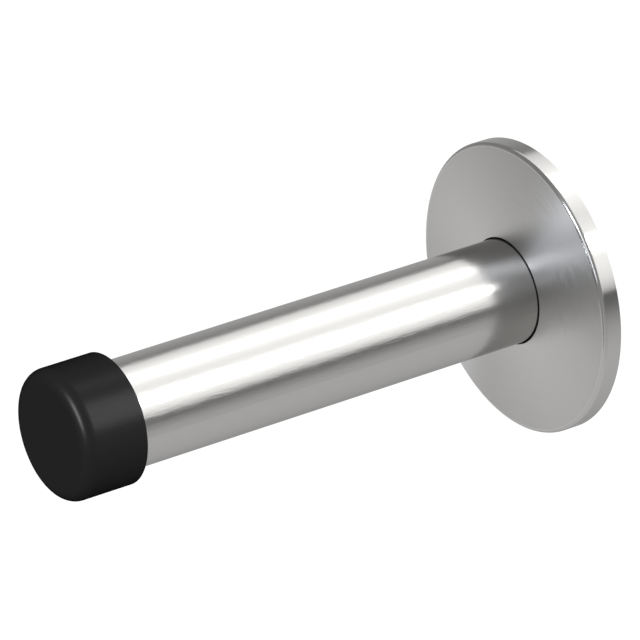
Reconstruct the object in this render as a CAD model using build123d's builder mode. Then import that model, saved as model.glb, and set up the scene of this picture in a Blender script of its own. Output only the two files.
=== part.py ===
"""A wall door stop: a round post on a cover rose, with a rubber buffer on its end.

All sizes are millimetres. The wall is the plane y = 0, +Z is up, and the post stands out of
the wall along -Y. The origin is the centre of the fixing plate's back face.
"""

from build123d import *
from math import radians, sqrt, tan
import os

os.makedirs("parts", exist_ok=True)

# Overall
projection = 100.0  # from the wall to the buffer's front face

# Post
tube_diameter = 19.0
tube_wall = 1.2
tube_deburr = 0.25  # chamfer on the tube's cut ends

# Buffer, a moulded rubber cup over the end of the tube
buffer_diameter = 23.3
buffer_length = 11.9
buffer_face = 4.0  # thickness of the end that the door meets
buffer_edge_radius = 2.3
buffer_lead_in = 0.4  # chamfer inside the mouth, to start the cup on the tube

# Cover rose, a turned shell with a shallow dome
rose_diameter = 53.0
rose_skirt = 3.5  # height of the straight skirt at the rim
rose_height = 5.05  # height of the dome where the tube passes through
rose_wall = 0.8
rose_edge_radius = 0.5
rose_gap = 0.38  # radial clearance to the tube

# Fixing plate, screwed to the wall under the rose
plate_thickness = 2.4
plate_gap = 0.6  # radial clearance to the inside of the rose's skirt
plate_chamfer = 0.35
spigot_height = 3.0
spigot_gap = 0.1  # radial clearance in the bore of the tube
spigot_chamfer = 0.5

# Holes for the wall screws, countersunk from the front
wall_screws = 3
wall_screw_circle = 35.0
wall_screw_hole = 4.5
wall_screw_head = 8.2

# Rubber ring in the plate's rim, drawn as it is squeezed when fitted
ring_depth = 1.4  # from the groove's floor to the rose's skirt
ring_width = 1.3
ring_bevel = 0.4  # the ring's corners, which the squeeze doesn't fill
ring_side_gap = 0.05

# Centre screw, a countersunk socket screw from behind the plate
screw_thread = 6.0
screw_head = 11.5
screw_length = 16.0
screw_recess = 0.2  # how far the head lies below the plate's back
screw_hole_gap = 0.2  # radial clearance of the thread in the plate
screw_tip_chamfer = 0.7
socket_across_flats = 4.0
socket_depth = 2.2
countersink_angle = 90.0

# Threaded insert, pressed into the wall end of the tube
insert_length = 12.0
insert_gap = 0.3  # left above the spigot, so that the screw clamps the tube to the plate
insert_chamfer = 0.6

# Worked out from the sizes above
tube_radius = tube_diameter / 2
tube_bore_radius = tube_radius - tube_wall
tube_end = projection - buffer_face
rose_radius = rose_diameter / 2
rose_hole_radius = tube_radius + rose_gap
skirt_inside_radius = rose_radius - rose_wall
plate_radius = skirt_inside_radius - plate_gap
groove_floor_radius = skirt_inside_radius - ring_depth
groove_width = ring_width + 2 * ring_side_gap
insert_start = plate_thickness + spigot_height + insert_gap
countersink_slope = tan(radians(countersink_angle / 2))

# The dome is part of a sphere centred on the axis, through the skirt's top and the hole's edge
dome_rise = rose_height - rose_skirt
skirt_over_centre = (rose_radius**2 - rose_hole_radius**2 - dome_rise**2) / (2 * dome_rise)
dome_centre = rose_skirt - skirt_over_centre
dome_radius = sqrt(rose_radius**2 + skirt_over_centre**2)
inner_dome_radius = dome_radius - rose_wall


def dome_height(radius, sphere_radius):
    """Distance from the wall to a sphere about the dome's centre, at this radius from the axis."""
    return dome_centre + sqrt(sphere_radius**2 - radius**2)


# Planes. On the wall plane, out of the wall is up. On the half section, x is the radius and
# y is the distance from the wall.
wall = Plane.XZ
half_section = Plane(origin=(0, 0, 0), x_dir=(1, 0, 0), z_dir=(0, 0, -1))


# Fixing plate
with BuildPart() as fixing_plate:
    with BuildSketch(wall):
        Circle(plate_radius)
    extrude(amount=plate_thickness)
    rim_front = fixing_plate.edges().filter_by(GeomType.CIRCLE).sort_by(Axis.Y)[0]
    chamfer(rim_front, length=plate_chamfer)

    # Spigot that centres the tube
    with BuildSketch(wall.offset(plate_thickness)):
        Circle(tube_bore_radius - spigot_gap)
    extrude(amount=spigot_height)
    spigot_front = fixing_plate.edges().filter_by(GeomType.CIRCLE).sort_by(Axis.Y)[0]
    chamfer(spigot_front, length=spigot_chamfer)

    # Groove for the rubber ring, half way along the rim
    with BuildSketch(half_section):
        with Locations((groove_floor_radius, plate_thickness / 2)):
            Rectangle(ring_depth, groove_width, align=(Align.MIN, Align.CENTER))
    revolve(axis=Axis.Y, mode=Mode.SUBTRACT)

    # Countersunk holes for the wall screws, the first one at the top
    with Locations(wall.offset(plate_thickness)):
        with PolarLocations(wall_screw_circle / 2, wall_screws, start_angle=90):
            CounterSinkHole(
                radius=wall_screw_hole / 2,
                counter_sink_radius=wall_screw_head / 2,
                depth=plate_thickness,
                counter_sink_angle=countersink_angle,
            )

    # Countersunk hole for the centre screw, from behind
    with Locations(-wall):
        CounterSinkHole(
            radius=screw_thread / 2 + screw_hole_gap,
            counter_sink_radius=screw_head / 2 + screw_recess * countersink_slope,
            depth=plate_thickness + spigot_height,
            counter_sink_angle=countersink_angle,
        )

fixing_plate.part.label = "fixing_plate"
export_step(fixing_plate.part, "parts/fixing_plate.step")


# Grip ring, between the groove's floor and the rose's skirt
with BuildPart() as grip_ring:
    with BuildSketch(half_section) as ring_section:
        with Locations((groove_floor_radius, plate_thickness / 2)):
            Rectangle(ring_depth, ring_width, align=(Align.MIN, Align.CENTER))
        chamfer(ring_section.vertices(), length=ring_bevel)
    revolve(axis=Axis.Y)

grip_ring.part.label = "grip_ring"
export_step(grip_ring.part, "parts/grip_ring.step")


# Tube
with BuildPart() as tube:
    with BuildSketch(wall.offset(plate_thickness)):
        Circle(tube_radius)
        Circle(tube_bore_radius, mode=Mode.SUBTRACT)
    extrude(amount=tube_end - plate_thickness)
    chamfer(tube.edges().filter_by(GeomType.CIRCLE), length=tube_deburr)

tube.part.label = "tube"
export_step(tube.part, "parts/tube.step")


# Threaded insert, drawn with its bore at the thread's outer diameter
with BuildPart() as tube_insert:
    with BuildSketch(wall.offset(insert_start)):
        Circle(tube_bore_radius)
    extrude(amount=insert_length)
    chamfer(tube_insert.edges().filter_by(GeomType.CIRCLE), length=insert_chamfer)
    with Locations(wall.offset(insert_start + insert_length)):
        Hole(radius=screw_thread / 2, depth=insert_length)

tube_insert.part.label = "tube_insert"
export_step(tube_insert.part, "parts/tube_insert.step")


# Centre screw, drawn with a plain shank at the thread's outer diameter
head_bottom = screw_recess + (screw_head - screw_thread) / 2 / countersink_slope
screw_tip = screw_recess + screw_length
with BuildPart() as centre_screw:
    with BuildSketch(half_section):
        with BuildLine():
            Polyline(
                (0, screw_recess),
                (screw_head / 2, screw_recess),
                (screw_thread / 2, head_bottom),
                (screw_thread / 2, screw_tip - screw_tip_chamfer),
                (screw_thread / 2 - screw_tip_chamfer, screw_tip),
                (0, screw_tip),
                close=True,
            )
        make_face()
    revolve(axis=Axis.Y)
    with BuildSketch(wall.offset(screw_recess)):
        RegularPolygon(socket_across_flats / 2, side_count=6, major_radius=False)
    extrude(amount=socket_depth, mode=Mode.SUBTRACT)

centre_screw.part.label = "centre_screw"
export_step(centre_screw.part, "parts/centre_screw.step")


# Cover rose, turned from one section: the skirt and the dome outside, rounded where they meet,
# and the same form one wall thickness smaller inside
rose_middle = (rose_hole_radius + rose_radius) / 2
inner_hole_edge = dome_height(rose_hole_radius, inner_dome_radius)
inner_skirt_end = dome_height(skirt_inside_radius, inner_dome_radius)
with BuildPart() as cover_rose:
    with BuildSketch(half_section) as rose_section:
        with BuildLine():
            Line((skirt_inside_radius, 0), (rose_radius, 0))
            Line((rose_radius, 0), (rose_radius, rose_skirt))
            ThreePointArc(
                (rose_radius, rose_skirt),
                (rose_middle, dome_height(rose_middle, dome_radius)),
                (rose_hole_radius, rose_height),
            )
            Line((rose_hole_radius, rose_height), (rose_hole_radius, inner_hole_edge))
            ThreePointArc(
                (rose_hole_radius, inner_hole_edge),
                (rose_middle, dome_height(rose_middle, inner_dome_radius)),
                (skirt_inside_radius, inner_skirt_end),
            )
            Line((skirt_inside_radius, inner_skirt_end), (skirt_inside_radius, 0))
        make_face()
        rim_corner = rose_section.vertices().group_by(Axis.X)[-1].sort_by(Axis.Y)[-1]
        fillet(rim_corner, radius=rose_edge_radius)
    revolve(axis=Axis.Y)

cover_rose.part.label = "cover_rose"
export_step(cover_rose.part, "parts/cover_rose.step")


# Buffer
with BuildPart() as buffer:
    with BuildSketch(wall.offset(projection - buffer_length)):
        Circle(buffer_diameter / 2)
    extrude(amount=buffer_length)
    front_edge = buffer.edges().filter_by(GeomType.CIRCLE).sort_by(Axis.Y)[0]
    fillet(front_edge, radius=buffer_edge_radius)
    with BuildSketch(wall.offset(projection - buffer_length)):
        Circle(tube_radius)
    extrude(amount=buffer_length - buffer_face, mode=Mode.SUBTRACT)
    mouth = buffer.edges().filter_by(GeomType.CIRCLE).group_by(Axis.Y)[-1].sort_by(SortBy.RADIUS)[0]
    chamfer(mouth, length=buffer_lead_in)

buffer.part.label = "buffer"
export_step(buffer.part, "parts/buffer.step")
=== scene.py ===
# %% [markdown]
# This is a wall door stop: a satin stainless post on a round cover rose, with a black rubber
# buffer on its end. Its solids come from the CAD model, one object for each piece, in metres.
# They could all be modelled again here, but their shapes are exact already, so only the rose is,
# for the sake of its rim. This file gives each piece its finish, and adds a camera and a
# photographer's studio. The wall is the plane y = 0, the post points along -Y, and +Z is up.

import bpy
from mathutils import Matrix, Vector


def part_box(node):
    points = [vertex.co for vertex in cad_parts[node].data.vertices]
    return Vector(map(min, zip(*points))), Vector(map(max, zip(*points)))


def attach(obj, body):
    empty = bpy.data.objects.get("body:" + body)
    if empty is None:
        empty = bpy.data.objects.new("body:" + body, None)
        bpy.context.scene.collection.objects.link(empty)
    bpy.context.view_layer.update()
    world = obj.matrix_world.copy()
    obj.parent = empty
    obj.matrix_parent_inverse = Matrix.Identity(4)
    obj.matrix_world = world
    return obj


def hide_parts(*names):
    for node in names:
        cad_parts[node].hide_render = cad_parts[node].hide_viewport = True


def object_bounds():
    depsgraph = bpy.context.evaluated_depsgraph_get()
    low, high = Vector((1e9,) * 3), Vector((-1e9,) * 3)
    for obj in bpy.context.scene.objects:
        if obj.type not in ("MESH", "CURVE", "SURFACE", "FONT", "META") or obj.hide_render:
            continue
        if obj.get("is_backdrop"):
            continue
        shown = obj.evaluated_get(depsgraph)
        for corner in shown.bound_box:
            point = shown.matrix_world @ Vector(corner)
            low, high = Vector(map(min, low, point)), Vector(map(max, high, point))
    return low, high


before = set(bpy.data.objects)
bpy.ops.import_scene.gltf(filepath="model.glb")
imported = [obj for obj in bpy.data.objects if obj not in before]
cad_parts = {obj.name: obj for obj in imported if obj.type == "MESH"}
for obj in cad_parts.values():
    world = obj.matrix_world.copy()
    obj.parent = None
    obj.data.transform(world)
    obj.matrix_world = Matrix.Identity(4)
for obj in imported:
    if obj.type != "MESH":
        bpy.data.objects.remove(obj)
print("nodes:", sorted(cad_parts))

# %% [markdown]
# The box round the solids is kept now, and the last cell prints how far the box round the
# dressed model differs from it.

# %% The solids' box
import math

import bmesh
import bpy
from mathutils import Matrix, Vector

MM = 0.001
cad_box = [list(corner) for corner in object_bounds()]
low, high = ([round(v / MM, 2) for v in corner] for corner in cad_box)
print("from", low, "to", high, "mm")

# %% [markdown]
# The photograph was taken with a long lens, from in front of the wall, to the right of the post
# and above it. The camera's place was worked out from the outlines of the tube, the rose and the
# buffer. A camera can be placed by its position and three turns, but an aim point, two angles, a
# small roll and a distance are easier to read, and each can be changed without the others.

# %% Camera's aim and angles
AIM = Vector((-2.84, -42.96, 4.18)) * MM
CAMERA_DISTANCE = 0.99453
AZIMUTH, ELEVATION, ROLL = (math.radians(a) for a in (54.87, 27.55, 0.30))

# %% Camera's axes
back = Vector((
    math.sin(AZIMUTH) * math.cos(ELEVATION),
    -math.cos(AZIMUTH) * math.cos(ELEVATION),
    math.sin(ELEVATION),
))
level_right = Vector((math.cos(AZIMUTH), math.sin(AZIMUTH), 0))
level_up = back.cross(level_right)
right = level_right * math.cos(ROLL) + level_up * math.sin(ROLL)
up = back.cross(right)
print("looks along", [round(-v, 3) for v in back])

# %% [markdown]
# A lens is described by its focal length and by the width of the sensor behind it. Here the
# focal length was found in pixels of the photograph, so it is turned into millimetres for a
# sensor of full frame width.

# %% Camera
SENSOR_WIDTH = 36.0
PHOTO_WIDTH_PX = 640
FOCAL_PX = 5773
CAMERA_REACH = 20.0  # metres, far past the floor

camera_data = bpy.data.cameras.new("camera")
camera_data.sensor_width = SENSOR_WIDTH
camera_data.lens = FOCAL_PX * SENSOR_WIDTH / PHOTO_WIDTH_PX
camera_data.clip_end = CAMERA_REACH
camera = bpy.data.objects.new("camera", camera_data)
bpy.context.scene.collection.objects.link(camera)
camera.matrix_world = (
    Matrix.Translation(AIM + back * CAMERA_DISTANCE)
    @ Matrix((right, up, back)).transposed().to_4x4()
)
bpy.context.scene.camera = camera
print(f"lens {camera_data.lens:.1f} mm")

# %% [markdown]
# Colours are written as sRGB hex values, as in a paint program. The shaders work in linear light,
# so one function turns the one into the other.

# %% Colours
def linear(hex_colour):
    """An sRGB hex colour as the linear red, green, blue and alpha that shaders take."""
    channels = [int(hex_colour[i:i + 2], 16) / 255 for i in (1, 3, 5)]
    return tuple(
        c / 12.92 if c <= 0.04045 else ((c + 0.055) / 1.055) ** 2.4 for c in channels
    ) + (1.0,)


print("middle grey #808080 is", round(linear("#808080")[0], 3), "in linear light")

# %% [markdown]
# A material is a tree of nodes. One small function adds a node, gives it its settings and links
# its inputs, so that a material reads as a list of steps. An input is named as in Blender, with _
# for a space, or _0 and _1 for the first and second where the names are the same.

# %% Nodes
def node(tree, kind, settings=None, **inputs):
    """Adds a node. settings are its own properties, and each input is a value or an output."""
    made = tree.nodes.new(kind)
    for name, value in (settings or {}).items():
        setattr(made, name, value)
    for name, value in inputs.items():
        key = int(name[1:]) if name[0] == "_" else name.replace("_", " ")
        if isinstance(value, bpy.types.NodeSocket):
            tree.links.new(value, made.inputs[key])
        else:
            made.inputs[key].default_value = value
    return made


# %% An empty material
def blank_material(name):
    """A new material with nothing in its node tree but the output."""
    material = bpy.data.materials.new(name)
    material.use_nodes = True
    tree = material.node_tree
    tree.nodes.clear()
    return material, tree, tree.nodes.new("ShaderNodeOutputMaterial")


# %% [markdown]
# The cover rose is pressed from sheet and turned: a straight skirt, a very shallow dome and a
# hole that the post passes through. The CAD's mesh of it has the right shape, but on the rounded
# rim its triangles are uneven, and a rim that is nearly polished shows that as teeth in its
# bright line. So the rose is modelled again in the same box, with two details read more closely
# from the photograph: the rim's rounding is 0.25 mm larger, and the hole 0.1 mm closer to the
# tube. A profile could be spun round the axis; here a circle is drawn in ring by ring instead,
# because each ring then sits at a place that can be worked out.

# %% Sizes of the rose
rose_low, rose_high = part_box("cover_rose")
ROSE_RADIUS = rose_high[0]
HUB_HEIGHT = -rose_low[1]
HOLE_RADIUS = 9.78 * MM
SKIRT_HEIGHT = 3.5 * MM
SHEET = 0.8 * MM
RIM_ROUNDING = 0.75 * MM

rise = HUB_HEIGHT - SKIRT_HEIGHT
below = (ROSE_RADIUS**2 - HOLE_RADIUS**2 - rise**2) / (2 * rise)
dome_radius = math.hypot(ROSE_RADIUS, below)
print(f"rose {ROSE_RADIUS / MM:.2f} mm in radius, its dome's sphere {dome_radius / MM:.0f} mm")


def dome_height(ring_radius):
    """How far the dome stands from the wall, at this distance from the axis."""
    return SKIRT_HEIGHT - below + math.sqrt(dome_radius**2 - ring_radius**2)


# %% [markdown]
# The first circle lies on the wall plane. It is extruded away from the wall for the skirt. Each
# further ring is an extrusion in place, which is then scaled about the axis and moved out to the
# dome's height. A ring that is extruded stays selected, so the steps follow one another.

# %% Skirt and dome
GIRTH_STEPS = 192
DOME_RINGS = 10
FACING_Y = (math.pi / 2, 0, 0)

bpy.ops.object.select_all(action="DESELECT")
bpy.ops.mesh.primitive_circle_add(
    vertices=GIRTH_STEPS, radius=ROSE_RADIUS, fill_type="NOTHING", rotation=FACING_Y
)
bpy.ops.object.transform_apply(location=True, rotation=True, scale=True)
rose = bpy.context.object
rose.name = "rose_cover"
bpy.ops.object.mode_set(mode="EDIT")
bpy.ops.mesh.select_all(action="SELECT")
bpy.ops.mesh.extrude_edges_move(TRANSFORM_OT_translate={"value": (0, -SKIRT_HEIGHT, 0)})
ring_radius, height = ROSE_RADIUS, SKIRT_HEIGHT
for i in range(DOME_RINGS):
    next_radius = ROSE_RADIUS + (HOLE_RADIUS - ROSE_RADIUS) * (i + 1) / DOME_RINGS
    shrink = next_radius / ring_radius
    step = dome_height(next_radius) - height
    bpy.ops.mesh.extrude_edges_move()
    bpy.ops.transform.resize(value=(shrink, 1, shrink), center_override=(0, 0, 0))
    bpy.ops.transform.translate(value=(0, -step, 0))
    ring_radius, height = next_radius, height + step
print(f"the last ring is {ring_radius / MM:.2f} mm in radius, {height / MM:.2f} mm from the wall")

# %% [markdown]
# The shell is one sheet of faces with no thickness yet. Its normals are made to point out, and
# then Solidify adds the wall of the sheet metal on the inside. Even offset keeps the wall as
# thick at the corner as elsewhere.

# %% Sheet metal
bpy.ops.mesh.select_all(action="SELECT")
bpy.ops.mesh.normals_make_consistent(inside=False)
bpy.ops.object.mode_set(mode="OBJECT")
dome_face = max(rose.data.polygons, key=lambda face: abs(face.normal.y))
if dome_face.normal.y > 0:
    rose.data.flip_normals()
wall = rose.modifiers.new("sheet", "SOLIDIFY")
wall.thickness = SHEET
wall.offset = -1
wall.use_even_offset = True
bpy.ops.object.modifier_apply(modifier=wall.name)
print(len(rose.data.polygons), "faces with the inside")

# %% [markdown]
# The rim is the ring of edges where the skirt meets the dome outside. It is selected by its
# place and bevelled. The bevel's width runs along each face, and the arc's radius is that width
# over the tangent of half the turn between the faces, so the width is worked out from the radius.

# %% Rounded rim
RIM_STEPS = 8
CLOSE_BY = 0.02 * MM

skirt_to_dome = math.pi / 2 - math.asin(ROSE_RADIUS / dome_radius)
bevel_width = RIM_ROUNDING * math.tan(skirt_to_dome / 2)


def on_the_rim(vertex):
    """Whether a vertex lies on the outer corner of the skirt and the dome."""
    past_the_skirt = math.hypot(vertex.co.x, vertex.co.z) - ROSE_RADIUS
    above_the_skirt = -vertex.co.y - SKIRT_HEIGHT
    return abs(past_the_skirt) < CLOSE_BY and abs(above_the_skirt) < CLOSE_BY


bpy.ops.object.mode_set(mode="EDIT")
bpy.ops.mesh.select_mode(type="EDGE")
bpy.ops.mesh.select_all(action="DESELECT")
shape = bmesh.from_edit_mesh(rose.data)
for edge in shape.edges:
    edge.select_set(all(on_the_rim(vertex) for vertex in edge.verts))
rim_edges = sum(edge.select for edge in shape.edges)
bmesh.update_edit_mesh(rose.data)
bpy.ops.mesh.bevel(offset=bevel_width, segments=RIM_STEPS, profile=0.5, affect="EDGES")
bpy.ops.object.mode_set(mode="OBJECT")
print(rim_edges, f"edges rounded, {bevel_width / MM:.2f} mm wide")

# %% [markdown]
# Shading is smooth except over edges sharper than 30 degrees. Plain smoothing would bend the
# light on the wide faces beside the narrow bevel, so a Weighted Normal modifier lets the larger
# faces decide. The new piece then takes the CAD node's place: it rides on the same body, and is
# checked against the CAD's surface.

# %% Smooth shading, and in place of the CAD node
SHARP_FROM = math.radians(30)

bpy.ops.object.shade_smooth_by_angle(angle=SHARP_FROM)
smooth = rose.modifiers.new("larger_faces_decide", "WEIGHTED_NORMAL")
smooth.keep_sharp = True
bpy.ops.object.modifier_apply(modifier=smooth.name)
cad_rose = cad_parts["cover_rose"]
off = max((cad_rose.closest_point_on_mesh(v.co)[1] - v.co).length for v in rose.data.vertices)
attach(rose, "root")
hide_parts("cover_rose")
print(f"{len(rose.data.polygons)} faces, at most {off / MM:.3f} mm from the CAD's surface")

# %% [markdown]
# The post is a tube of satin stainless steel. It was polished, and then rubbed along its length
# with a fine abrasive belt, which leaves short scratches that all run one way. They could be
# painted as dark lines, but real ones have no colour: they only tilt and blur what the metal
# mirrors. So the pattern, a noise stretched along the tube, drives the roughness and a bump.
# A real scratch is about 0.05 mm wide. These are coarser, because the render would lose it.

# %% Scratches along the tube
SCRATCH_WIDTH = 0.35 * MM
SCRATCH_LENGTH = 3.0 * MM
SCRATCH_DEPTH = 0.016 * MM

tube_steel, tree, output = blank_material("satin_steel_lengthwise")
place = node(tree, "ShaderNodeTexCoord").outputs["Object"]
stretched = node(
    tree, "ShaderNodeMapping", Vector=place,
    Scale=(1 / SCRATCH_WIDTH, 1 / SCRATCH_LENGTH, 1 / SCRATCH_WIDTH),
).outputs["Vector"]
scratches = node(
    tree, "ShaderNodeTexNoise", Vector=stretched, Scale=1.0, Detail=3.0, Roughness=0.6
).outputs["Fac"]
tube_bump = node(
    tree, "ShaderNodeBump", Height=scratches, Strength=1.0, Distance=SCRATCH_DEPTH
).outputs["Normal"]
tube_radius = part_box("tube")[1][0]
print(f"about {2 * math.pi * tube_radius / SCRATCH_WIDTH:.0f} scratches round the tube")

# %% [markdown]
# Stainless steel is a slightly warm grey, and mirrors a little over half of the light. Satin
# steel spreads light more across its scratches than along them. Anisotropy says how unequal the
# spread is, and a Tangent node about the Y axis says which way round the tube is. The edge tint
# holds back the brightening at grazing angles, which fine scratches shade in the real metal.

# %% Satin steel of the tube
STEEL = "#C3C2C0"
EDGE_TINT = (0.75, 0.75, 0.75, 1)

tube_roughness = node(
    tree, "ShaderNodeMapRange", Value=scratches, From_Min=0.3, From_Max=0.7,
    To_Min=0.16, To_Max=0.21,
).outputs["Result"]
round_the_axis = node(
    tree, "ShaderNodeTangent", {"direction_type": "RADIAL", "axis": "Y"}
).outputs["Tangent"]
steel = node(
    tree, "ShaderNodeBsdfPrincipled", Base_Color=linear(STEEL), Metallic=1.0,
    Roughness=tube_roughness, Specular_Tint=EDGE_TINT, Anisotropic=0.3,
    Tangent=round_the_axis, Normal=tube_bump,
)
tree.links.new(steel.outputs["BSDF"], output.inputs["Surface"])
print(tube_steel.name, "has", len(tree.nodes), "nodes")

# %% [markdown]
# Two of the finishes here were made while the piece turned in a lathe, so their marks follow the
# distance from the Y axis. One function works that out for both. The length along the surface is
# nearly that distance plus Y, on a flat face, on a shallow dome and on a round wall alike.

# %% Distance from the axis
def from_the_axis(tree, place):
    """The way out from the Y axis as a vector, how long it is, and that length plus Y."""
    outward = node(
        tree, "ShaderNodeVectorMath", {"operation": "MULTIPLY"}, _0=place, _1=(1, 0, 1)
    ).outputs[0]
    radius = node(
        tree, "ShaderNodeVectorMath", {"operation": "LENGTH"}, _0=outward
    ).outputs["Value"]
    axes = node(tree, "ShaderNodeSeparateXYZ", Vector=place).outputs
    along = node(
        tree, "ShaderNodeMath", {"operation": "ADD"}, _0=radius, _1=axes["Y"]
    ).outputs[0]
    return outward, radius, along


# %% [markdown]
# The rose was brushed while it turned, so its scratches are arcs about its centre. Each spreads
# light towards the centre and the rim, and that draws the reflection of a lamp out into a bright
# fan, which short arcs break up. The pattern is a noise that changes quickly with the distance
# along the surface from the centre, and slowly with the heading round it. Reading the heading as
# a point on a circle, and not as an angle, leaves no seam.

# %% Arcs on the rose
ARC_SPACING = 0.3 * MM  # real ones are under 0.1 mm apart, too fine to show
ARCS_ROUND = 5.0  # the higher this is, the shorter an arc

rose_steel, tree, output = blank_material("satin_steel_circular")
place = node(tree, "ShaderNodeTexCoord").outputs["Object"]
outward, radius, from_centre = from_the_axis(tree, place)
heading = node(
    tree, "ShaderNodeVectorMath", {"operation": "NORMALIZE"}, _0=outward
).outputs[0]
arc_number = node(
    tree, "ShaderNodeMath", {"operation": "DIVIDE"}, _0=from_centre, _1=ARC_SPACING
).outputs[0]
face_width = ROSE_RADIUS - HOLE_RADIUS
print("about", round(face_width / ARC_SPACING), "arcs between the hole and the rim")

# %% Noise of the arcs
on_a_circle = node(
    tree, "ShaderNodeVectorMath", {"operation": "SCALE"}, _0=heading, Scale=ARCS_ROUND
).outputs[0]
on_a_circle = node(tree, "ShaderNodeSeparateXYZ", Vector=on_a_circle).outputs
wrapped = node(
    tree, "ShaderNodeCombineXYZ", X=on_a_circle["X"], Y=arc_number, Z=on_a_circle["Z"]
).outputs[0]
arcs = node(
    tree, "ShaderNodeTexNoise", Vector=wrapped, Scale=1.0, Detail=3.0, Roughness=0.6
).outputs["Fac"]
print("noise of the arcs is wrapped round the rose")

# %% [markdown]
# The rounded rim and the skirt are smoother than the face, because the metal was drawn tight
# there before it was brushed. The photograph shows that by the crisp light and dark lines along
# the rim. The rim starts at a known distance from the centre, so a Map Range node on the radius
# switches from the brushed face to the smooth edge. On the face itself the brush bit harder
# further out, where the metal ran past it faster, so the roughness grows towards the rim.

# %% Face and edge of the rose
RIM_START = ROSE_RADIUS - RIM_ROUNDING
RIM_BLEND = 0.05 * MM
ROUGHER_AT_THE_RIM = 0.07
EDGE_ROUGHNESS = 0.17

further_out = node(
    tree, "ShaderNodeMapRange", Value=radius, From_Min=HOLE_RADIUS, From_Max=ROSE_RADIUS,
    To_Min=0.0, To_Max=ROUGHER_AT_THE_RIM,
).outputs["Result"]
arc_roughness = node(
    tree, "ShaderNodeMapRange", Value=arcs, From_Min=0.4, From_Max=0.6,
    To_Min=0.315, To_Max=0.335,
).outputs["Result"]
face_roughness = node(
    tree, "ShaderNodeMath", {"operation": "ADD"}, _0=arc_roughness, _1=further_out
).outputs[0]
rose_roughness = node(
    tree, "ShaderNodeMapRange", Value=radius, From_Min=RIM_START - RIM_BLEND,
    From_Max=RIM_START + RIM_BLEND, To_Min=face_roughness, To_Max=EDGE_ROUGHNESS,
).outputs["Result"]
print(f"the edge starts {RIM_START / MM:.1f} mm from the centre")

# %% [markdown]
# An arc also leans a little one way or the other round the rose, and that alone breaks the fan up
# into short strokes. A bump would tilt the metal most across the arcs, where nobody sees it. So
# the surface's normal is tilted along the arc instead, by the same noise, and less near the rim.

# %% How far an arc leans
ARC_LEAN = 0.035  # radians, either way
LEAN_FADES_FROM = RIM_START - 1.2 * MM
LEAN_FADES_TO = RIM_START - 0.4 * MM

lean_limit = node(
    tree, "ShaderNodeMapRange", Value=radius, From_Min=LEAN_FADES_FROM,
    From_Max=LEAN_FADES_TO, To_Min=ARC_LEAN, To_Max=0.0,
).outputs["Result"]
either_way = node(
    tree, "ShaderNodeMapRange", Value=arcs, From_Min=0.3, From_Max=0.7,
    To_Min=-1.0, To_Max=1.0,
).outputs["Result"]
lean = node(
    tree, "ShaderNodeMath", {"operation": "MULTIPLY"}, _0=either_way, _1=lean_limit
).outputs[0]
print(f"the arcs lean by up to {math.degrees(ARC_LEAN):.1f} degrees")

# %% Normal of the leaning arcs
along_the_arc = node(
    tree, "ShaderNodeVectorMath", {"operation": "CROSS_PRODUCT"}, _0=heading, _1=(0, 1, 0)
).outputs[0]
sideways = node(
    tree, "ShaderNodeVectorMath", {"operation": "SCALE"}, _0=along_the_arc, Scale=lean
).outputs[0]
surface = node(tree, "ShaderNodeNewGeometry").outputs["Normal"]
leaning = node(
    tree, "ShaderNodeVectorMath", {"operation": "ADD"}, _0=surface, _1=sideways
).outputs[0]
leaning = node(
    tree, "ShaderNodeVectorMath", {"operation": "NORMALIZE"}, _0=leaning
).outputs[0]
print("the normal leans along the arc")

# %% [markdown]
# The shader is the tube's, with three changes. Its spread is far more unequal, because the arcs
# are cut deeper than the belt's scratches. It has to lie along the radius and not round the axis,
# so Anisotropic Rotation turns it by a quarter. And its normal is the leaning one.

# %% Satin steel of the rose
QUARTER_TURN = 0.25

round_the_axis = node(
    tree, "ShaderNodeTangent", {"direction_type": "RADIAL", "axis": "Y"}
).outputs["Tangent"]
steel = node(
    tree, "ShaderNodeBsdfPrincipled", Base_Color=linear(STEEL), Metallic=1.0,
    Roughness=rose_roughness, Specular_Tint=EDGE_TINT, Anisotropic=0.90,
    Anisotropic_Rotation=QUARTER_TURN, Tangent=round_the_axis, Normal=leaning,
)
tree.links.new(steel.outputs["BSDF"], output.inputs["Surface"])
print(rose_steel.name, "has", len(tree.nodes), "nodes")

# %% [markdown]
# The buffer is moulded from black rubber in a blasted mould. Rubber scatters very little light
# back, so its form shows mainly by a soft shine, wider than on plastic. A fine grain of the
# mould's blasting breaks the shine up. It could be displaced geometry, but it is only hundredths
# of a millimetre deep, so a bump is enough.

# %% Black rubber of the buffer
RUBBER = "#1E1E1E"
BLASTED_GRAIN = 0.25 * MM
GRAIN_DEPTH = 0.01 * MM

rubber, tree, output = blank_material("moulded_black_rubber")
place = node(tree, "ShaderNodeTexCoord").outputs["Object"]
grain = node(
    tree, "ShaderNodeTexNoise", Vector=place, Scale=1 / BLASTED_GRAIN, Detail=2.0, Roughness=0.5
).outputs["Fac"]
rubber_bump = node(
    tree, "ShaderNodeBump", Height=grain, Strength=0.3, Distance=GRAIN_DEPTH
).outputs["Normal"]
rubber_roughness = node(
    tree, "ShaderNodeMapRange", Value=grain, From_Min=0.3, From_Max=0.7, To_Min=0.30, To_Max=0.35
).outputs["Result"]
moulded = node(
    tree, "ShaderNodeBsdfPrincipled", Base_Color=linear(RUBBER), Roughness=rubber_roughness,
    Specular_IOR_Level=0.25, Normal=rubber_bump,
)
tree.links.new(moulded.outputs["BSDF"], output.inputs["Surface"])
print(rubber.name, "has", len(tree.nodes), "nodes")

# %% [markdown]
# The ring in the plate's rim is nitrile rubber, a sealing ring. It is as black as the buffer,
# but its mould is polished and it is greased, so it is smoother, and the grease lies unevenly.

# %% Nitrile rubber of the grip ring
NITRILE = "#1C1C1D"
GREASE_PATCH = 1.2 * MM

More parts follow.
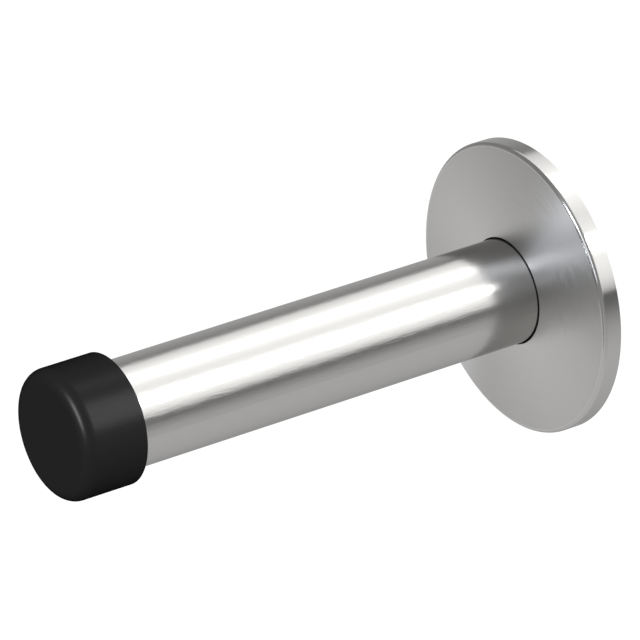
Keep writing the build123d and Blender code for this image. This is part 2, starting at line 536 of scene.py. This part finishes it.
ring_rubber, tree, output = blank_material("greased_nitrile_rubber")
place = node(tree, "ShaderNodeTexCoord").outputs["Object"]
grease = node(
    tree, "ShaderNodeTexNoise", Vector=place, Scale=1 / GREASE_PATCH, Detail=3.0, Roughness=0.5
).outputs["Fac"]
ring_roughness = node(
    tree, "ShaderNodeMapRange", Value=grease, From_Min=0.35, From_Max=0.65, To_Min=0.25, To_Max=0.5
).outputs["Result"]
greased = node(
    tree, "ShaderNodeBsdfPrincipled", Base_Color=linear(NITRILE), Roughness=ring_roughness
)
tree.links.new(greased.outputs["BSDF"], output.inputs["Surface"])
print(ring_rubber.name, "has", len(tree.nodes), "nodes")

# %% [markdown]
# The fixing plate is mild steel with bright zinc plating, a cool metal with faint clouds where
# the bath left it thicker. Zinc dulls unevenly, so the clouds go into both the colour and the
# roughness. Two greys are mixed by the noise for the colour.

# %% Zinc-plated steel of the fixing plate
ZINC = "#C7C9CA"
DULL_ZINC = "#BEC0C1"
ZINC_CLOUD = 4.0 * MM

zinc, tree, output = blank_material("bright_zinc_plating")
place = node(tree, "ShaderNodeTexCoord").outputs["Object"]
clouds = node(
    tree, "ShaderNodeTexNoise", Vector=place, Scale=1 / ZINC_CLOUD, Detail=2.0, Roughness=0.5
).outputs["Fac"]
dullness = node(
    tree, "ShaderNodeMapRange", Value=clouds, From_Min=0.35, From_Max=0.65
).outputs["Result"]
zinc_colour = node(
    tree, "ShaderNodeMixRGB", Fac=dullness, Color1=linear(ZINC), Color2=linear(DULL_ZINC)
).outputs["Color"]
zinc_roughness = node(
    tree, "ShaderNodeMapRange", Value=dullness, To_Min=0.30, To_Max=0.34
).outputs["Result"]
plated = node(
    tree, "ShaderNodeBsdfPrincipled", Base_Color=zinc_colour, Metallic=1.0, Roughness=zinc_roughness
)
tree.links.new(plated.outputs["BSDF"], output.inputs["Surface"])
print(zinc.name, "has", len(tree.nodes), "nodes")

# %% [markdown]
# The centre screw was forged and rolled, then zinc-plated in a barrel with hundreds of others.
# Its plating is thinner and greyer than the plate's, with small dents where screws knocked
# together. Voronoi cells a third of a millimetre wide give such dents as a bump.

# %% Barrel-plated steel of the screw
BARREL_ZINC = "#B4B8BA"
DENT_WIDTH = 0.35 * MM
DENT_DEPTH = 0.01 * MM

screw_steel, tree, output = blank_material("barrel_plated_steel")
place = node(tree, "ShaderNodeTexCoord").outputs["Object"]
dents = node(
    tree, "ShaderNodeTexVoronoi", Vector=place, Scale=1 / DENT_WIDTH
).outputs["Distance"]
screw_bump = node(
    tree, "ShaderNodeBump", Height=dents, Strength=0.5, Distance=DENT_DEPTH
).outputs["Normal"]
screw_roughness = node(
    tree, "ShaderNodeMapRange", Value=dents, From_Max=0.7, To_Min=0.38, To_Max=0.28
).outputs["Result"]
plated = node(
    tree, "ShaderNodeBsdfPrincipled", Base_Color=linear(BARREL_ZINC), Metallic=1.0,
    Roughness=screw_roughness, Normal=screw_bump,
)
tree.links.new(plated.outputs["BSDF"], output.inputs["Surface"])
print(screw_steel.name, "has", len(tree.nodes), "nodes")

# %% [markdown]
# The insert was turned from bar and left as it came off the lathe. The tool's feed leaves a fine
# spiral groove, which a Wave texture across the radius and along the axis draws as rings.
# A real feed is about 0.1 mm; twice that shows in a close view.

# %% Turned steel of the insert
TURNED = "#BBBBB9"
TOOL_FEED = 0.2 * MM
GROOVE_DEPTH = 0.01 * MM
WAVE_SPACING = 0.31416  # a Wave texture at scale 1 repeats at this distance

turned_steel, tree, output = blank_material("turned_steel")
place = node(tree, "ShaderNodeTexCoord").outputs["Object"]
along = from_the_axis(tree, place)[-1]
along = node(tree, "ShaderNodeCombineXYZ", X=along).outputs[0]
feed_marks = node(
    tree, "ShaderNodeTexWave", {"wave_type": "BANDS", "bands_direction": "X"},
    Vector=along, Scale=WAVE_SPACING / TOOL_FEED,
).outputs["Fac"]
turned_bump = node(
    tree, "ShaderNodeBump", Height=feed_marks, Strength=0.6, Distance=GROOVE_DEPTH
).outputs["Normal"]
turned_roughness = node(
    tree, "ShaderNodeMapRange", Value=feed_marks, To_Min=0.22, To_Max=0.34
).outputs["Result"]
turned = node(
    tree, "ShaderNodeBsdfPrincipled", Base_Color=linear(TURNED), Metallic=1.0,
    Roughness=turned_roughness, Normal=turned_bump,
)
tree.links.new(turned.outputs["BSDF"], output.inputs["Surface"])
print(turned_steel.name, "has", len(tree.nodes), "nodes")

# %% [markdown]
# A CAD node comes in with the plain material of its slot. It keeps its mesh, and its finish takes
# the plain one's place in the slot. The rose modelled here has no slot yet, and gets one.

# %% Dress the pieces
tube, buffer, grip_ring, plate, screw, insert = (
    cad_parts[name]
    for name in ("tube", "buffer", "grip_ring", "fixing_plate", "centre_screw", "tube_insert")
)
finishes = [
    (tube, tube_steel),
    (rose, rose_steel),
    (buffer, rubber),
    (grip_ring, ring_rubber),
    (plate, zinc),
    (screw, screw_steel),
    (insert, turned_steel),
]
for piece, material in finishes:
    piece.data.materials.clear()
    piece.data.materials.append(material)
    print(piece.name, len(piece.data.polygons), "faces in", material.name)

# %% [markdown]
# The photograph has a white ground. White light from everywhere would give that too, but it
# would also wash the object out. The Light Path node tells rays apart: the camera, and rays that
# mirror or pass through something, see white, and what lights the object is dimmer.

# %% Rays that see white
PLAIN_WHITE = (1, 1, 1, 1)


def sees_white(tree):
    """1 for camera, glossy and transmission rays and 0 for the rest."""
    rays = node(tree, "ShaderNodeLightPath").outputs
    either = node(
        tree, "ShaderNodeMath", {"operation": "MAXIMUM"},
        _0=rays["Is Camera Ray"], _1=rays["Is Glossy Ray"],
    ).outputs[0]
    return node(
        tree, "ShaderNodeMath", {"operation": "MAXIMUM"},
        _0=either, _1=rays["Is Transmission Ray"],
    ).outputs[0]


# %% White surroundings
AMBIENT_LEVEL = 0.8

world = bpy.data.worlds.new("white_surroundings")
bpy.context.scene.world = world
world.use_nodes = True
tree = world.node_tree
tree.nodes.clear()
level = node(
    tree, "ShaderNodeMapRange", Value=sees_white(tree), To_Min=AMBIENT_LEVEL, To_Max=1.0
).outputs["Result"]
sky = node(tree, "ShaderNodeBackground", Color=PLAIN_WHITE, Strength=level)
output = tree.nodes.new("ShaderNodeOutputWorld")
tree.links.new(sky.outputs[0], output.inputs["Surface"])
print("the world is white to the camera and", AMBIENT_LEVEL, "to the object")

# %% [markdown]
# A door stop is fixed well above the floor, so the floor lies far below it. It is white paint
# that takes what soft shadow reaches it, with the same white mixed in for the camera. The glow is
# a little over 1, because the paint under it is less than white where it is lit.

# %% Floor
FLOOR_DEPTH = 0.55
FLOOR_SIZE = 12.0
FLOOR_PAINT = (0.9, 0.9, 0.9, 1)
GLOW_SHARE = 0.85
GLOW_LEVEL = 1.12

bpy.ops.object.select_all(action="DESELECT")
bpy.ops.mesh.primitive_plane_add(size=FLOOR_SIZE, location=(0, 0, -FLOOR_DEPTH))
bpy.ops.object.transform_apply(location=True, rotation=True, scale=True)
floor = bpy.context.object
floor.name = "floor"
floor_paint, tree, output = blank_material("white_floor")
share = node(
    tree, "ShaderNodeMath", {"operation": "MULTIPLY"}, _0=sees_white(tree), _1=GLOW_SHARE
).outputs[0]
paint = node(tree, "ShaderNodeBsdfDiffuse", Color=FLOOR_PAINT)
glow = node(tree, "ShaderNodeEmission", Color=PLAIN_WHITE, Strength=GLOW_LEVEL)
mixed = node(
    tree, "ShaderNodeMixShader", Fac=share, _1=paint.outputs[0], _2=glow.outputs[0]
)
tree.links.new(mixed.outputs[0], output.inputs["Surface"])
floor.data.materials.append(floor_paint)
floor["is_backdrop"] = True
print("floor", FLOOR_DEPTH, "m below the post")

# %% [markdown]
# Metal shows little but what stands round it, so a photographer lights it with cards. Their
# tones can be read off the tube, which mirrors the whole girth of the studio as bands. Here the
# cards are two open tubes about the post's axis, one behind the wall plane and one before it.
# The tone is painted round each by angle, from +X towards +Z: arc tangent, then a colour ramp.

# %% Paint by angle
LAMP_LIMIT = 2.0  # a ramp's colours go up to 1, and this is how bright 1 is


def paint_by_angle(name, tones):
    """Paint that glows by its angle round the Y axis.

    tones are pairs of degrees and level, the first at 0 and the last at 360 degrees.
    """
    material, tree, output = blank_material(name)
    place = node(tree, "ShaderNodeTexCoord").outputs["Object"]
    axes = node(tree, "ShaderNodeSeparateXYZ", Vector=place).outputs
    angle = node(
        tree, "ShaderNodeMath", {"operation": "ARCTAN2"}, _0=axes["Z"], _1=axes["X"]
    ).outputs[0]
    turns = node(
        tree, "ShaderNodeMath", {"operation": "DIVIDE"}, _0=angle, _1=2 * math.pi
    ).outputs[0]
    turns = node(tree, "ShaderNodeMath", {"operation": "FRACT"}, _0=turns).outputs[0]
    ramp = node(tree, "ShaderNodeValToRGB", Fac=turns)
    stops = ramp.color_ramp.elements
    for degrees, _ in tones[1:-1]:
        stops.new(degrees / 360)
    for stop, (_, level) in zip(stops, tones):
        stop.color = (level / LAMP_LIMIT,) * 3 + (1,)
    glow = node(
        tree, "ShaderNodeEmission", Color=ramp.outputs["Color"], Strength=LAMP_LIMIT
    )
    tree.links.new(glow.outputs[0], output.inputs["Surface"])
    return material


# %% [markdown]
# The card behind the wall plane carries most of the picture: white silk from 10 to 139 degrees,
# that is to the right and above, and greys from there round underneath. The card before it gives
# the rose's face its even tone with its lower half, and with its darker upper half it draws the
# dark line along the rim, where the rounding turns from the wall's side to the front.

# %% Tones of the cards
behind = paint_by_angle("card_behind_paint", [
    (0, 0.22), (9, 0.15), (9.8, 0.65), (13, 1.00), (20, 1.40), (30, 1.62), (58, 1.60),
    (70, 1.42), (84, 1.72), (92, 1.95), (106, 1.95), (114, 1.66), (120, 1.50), (128, 1.33),
    (138.6, 1.10),
    (139.4, 0.25), (146, 0.34), (155, 0.45), (168, 0.57), (182, 0.62), (215, 0.58),
    (232, 0.50), (246, 0.56), (262, 0.63), (318, 0.68), (328, 0.65), (336, 0.60),
    (344, 0.52), (352, 0.38), (360, 0.22),
])
before = paint_by_angle("card_before_paint", [
    (0, 0.38), (20, 0.34), (60, 0.42), (90, 0.40), (105, 0.30), (165, 0.32), (190, 0.45),
    (200, 0.90), (210, 0.98), (222, 0.82), (240, 0.72), (310, 0.72), (345, 0.52), (360, 0.38),
])
print("painted", behind.name, "and", before.name)

# %% [markdown]
# A card must light only the metal. If it lit the rubber or the floor as well, or threw a shadow,
# its tones couldn't be chosen freely. A photographer hides such cards with flags. Blender has
# light linking for it: a collection of the pieces that a lamp or a glowing object reaches.

# %% What a card or a lamp reaches
def reached(name, pieces):
    """A collection of the only pieces that a card or a lamp lights."""
    group = bpy.data.collections.new(name)
    for piece in pieces:
        group.objects.link(piece)
    print(name, "are", [piece.name for piece in pieces])
    return group


metal_pieces = reached("metal_pieces", (tube, rose, plate, screw, insert))
rubber_pieces = reached("rubber_pieces", (buffer, grip_ring))


# %% Show a card in the metal
def show_in_metal(name, material):
    """Names and paints the card just added, and lets only the metal's reflections show it."""
    bpy.ops.object.transform_apply(location=True, rotation=True, scale=True)
    card = bpy.context.object
    card.name = name
    card.data.materials.append(material)
    card.visible_camera = card.visible_diffuse = card.visible_shadow = False
    card.light_linking.receiver_collection = metal_pieces
    card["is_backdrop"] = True
    print(name, "is shown to", metal_pieces.name)


# %% [markdown]
# Each round card is an open cylinder turned to the Y axis. Its place and turn are applied to its
# mesh, so that its Object coordinates are the scene's own and the painted angle is the true one.
# The cards meet a little behind the wall plane: the tube and the skirt mirror the one behind, the
# rose's face mirrors the one before, and the rounded rim mirrors both.

# %% Round cards
CARD_RADIUS = 0.40
CARD_LENGTH = 0.75
CARDS_MEET = 0.05


def round_card(name, start, material):
    """An open tube of card about the Y axis, from one place on it."""
    bpy.ops.object.select_all(action="DESELECT")
    bpy.ops.mesh.primitive_cylinder_add(
        vertices=96, radius=CARD_RADIUS, depth=CARD_LENGTH, end_fill_type="NOTHING",
        location=(0, start + CARD_LENGTH / 2, 0), rotation=FACING_Y,
    )
    show_in_metal(name, material)


round_card("card_behind", CARDS_MEET, behind)
round_card("card_before", CARDS_MEET - CARD_LENGTH, before)

# %% [markdown]
# The post's own direction is dark in the photograph: the face of the rose mirrors it round the
# tube as a grey sector. A flat card of dark grey closes that end of the studio. Seen from behind,
# the plate and the screw would mirror only white and look like paper, so a smaller grey card far
# behind them gives them tone. The picture from the front doesn't show that one.

# %% Flat cards
def flat_card(name, place, radius, level):
    """A plain disc of card across the Y axis, at this place on it."""
    material, tree, output = blank_material(name + "_paint")
    glow = node(tree, "ShaderNodeEmission", Color=PLAIN_WHITE, Strength=level)
    tree.links.new(glow.outputs[0], output.inputs["Surface"])
    bpy.ops.object.select_all(action="DESELECT")
    bpy.ops.mesh.primitive_circle_add(
        vertices=64, radius=radius, fill_type="NGON", location=(0, place, 0), rotation=FACING_Y
    )
    show_in_metal(name, material)


flat_card("card_in_front", place=-0.85, radius=0.70, level=0.35)
flat_card("card_at_the_back", place=1.10, radius=0.30, level=0.30)

# %% [markdown]
# Lamps do the rest. An area lamp is a flat rectangle that shines one way. Its power in watts
# grows with its size, which makes it hard to judge, so this function takes the white level that
# the lamp shows in a mirror and works out the power: level times pi times the area. A lamp that
# reaches only some pieces is linked to them, as the cards are.

# %% A lamp
def area_lamp(name, place, along, width, length, brightness, colour="#FFFFFF", reaches=None):
    """A flat lamp turned to the Y axis.

    brightness is the white level that it shows, and reaches is what it lights, if not all.
    """
    data = bpy.data.lights.new(name, "AREA")
    data.shape = "RECTANGLE"
    data.size, data.size_y = width, length
    data.energy = brightness * math.pi * width * length
    data.color = linear(colour)[:3]
    lamp = bpy.data.objects.new(name, data)
    bpy.context.scene.collection.objects.link(lamp)
    away = (place - along * place.dot(along)).normalized()
    lamp.matrix_world = (
        Matrix.Translation(place)
        @ Matrix((along.cross(away), along, away)).transposed().to_4x4()
    )
    lamp.visible_camera = False
    lamp.light_linking.receiver_collection = reaches
    print(f"{name}: {width / MM:.0f} x {length / MM:.0f} mm, {data.energy:.2f} W")


# %% [markdown]
# Two long strip lamps hang behind the wall plane, where the silk is, and make the two bright
# bands on the tube. The near one is far too bright for the rubber, whose highlight is a wide,
# even band. So it lights only the metal, and the rubber has a wide side panel of its own, again
# by light linking. The high strip reaches everything, and is the rubber's second, softer band.

# %% Strip lamps
STRIP_DISTANCE = 0.37
STRIP_MIDDLE = 0.38  # how far behind the wall plane the strips' middles are
STRIP_LENGTH = 0.70
ALONG_Y = Vector((0, 1, 0))


def strip_lamp(name, angle, width, brightness, reaches=None):
    """A long lamp beside the Y axis. angle and width are in degrees, seen from the object."""
    turn = math.radians(angle)
    place = Vector((math.cos(turn), 0, math.sin(turn))) * STRIP_DISTANCE
    place.y = STRIP_MIDDLE
    wide = 2 * STRIP_DISTANCE * math.tan(math.radians(width / 2))
    area_lamp(name, place, ALONG_Y, wide, STRIP_LENGTH, brightness, reaches=reaches)


strip_lamp("near_strip", angle=46.5, width=10, brightness=9.5, reaches=metal_pieces)
strip_lamp("high_strip", angle=99.0, width=16, brightness=0.8)
strip_lamp("side_panel", angle=45.0, width=88, brightness=2.6, reaches=rubber_pieces)

# %% [markdown]
# The key light is a soft box in front of the wall and above the camera, a little blue, as
# daylight lamps are. It makes the fan on the rose and the fine bright line along the rim. The fan
# is narrow and bright and has a wide glow round it, so the box is drawn as a small bright middle
# and a long, dimmer whole. The arc on the buffer's edge is shorter than the whole and not blue,
# so the rubber has a plain key light of its own in the same place.

# %% Key light
KEY_DISTANCE = 0.80
DAYLIGHT = "#EDF3FF"

key_direction = Vector((0.06, -0.915, 0.40)).normalized()
key_lean = Vector((-0.469, 0.094, 0.366))
key_lean = (key_lean - key_direction * key_lean.dot(key_direction)).normalized()
key_place = key_direction * KEY_DISTANCE


def key_lamp(name, shift, **settings):
    """Part of the key light, moved along it by so many metres."""
    area_lamp(name, key_place + key_lean * shift, key_lean, **settings)


key_lamp(
    "key_middle", shift=0.065, width=0.12, length=0.19, brightness=24.0,
    colour=DAYLIGHT, reaches=metal_pieces,
)
key_lamp(
    "key_whole", shift=-0.060, width=0.15, length=0.70, brightness=4.0,
    colour=DAYLIGHT, reaches=metal_pieces,
)
key_lamp(
    "rubber_key", shift=-0.045, width=0.16, length=0.46, brightness=16.0,
    reaches=rubber_pieces,
)

# %% [markdown]
# The Standard view transform shows a colour as it is written. The last lines measure the box
# round the dressed model and print how far it differs from the solids' box.

# %% Colour management, sizes and the end
bpy.context.scene.view_settings.view_transform = "Standard"
visual_box = [list(corner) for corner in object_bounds()]
growth = max(abs(a - b) for one, two in zip(cad_box, visual_box) for a, b in zip(one, two))
print(f"the dressed model differs from the solids by {growth / MM:.3f} mm")
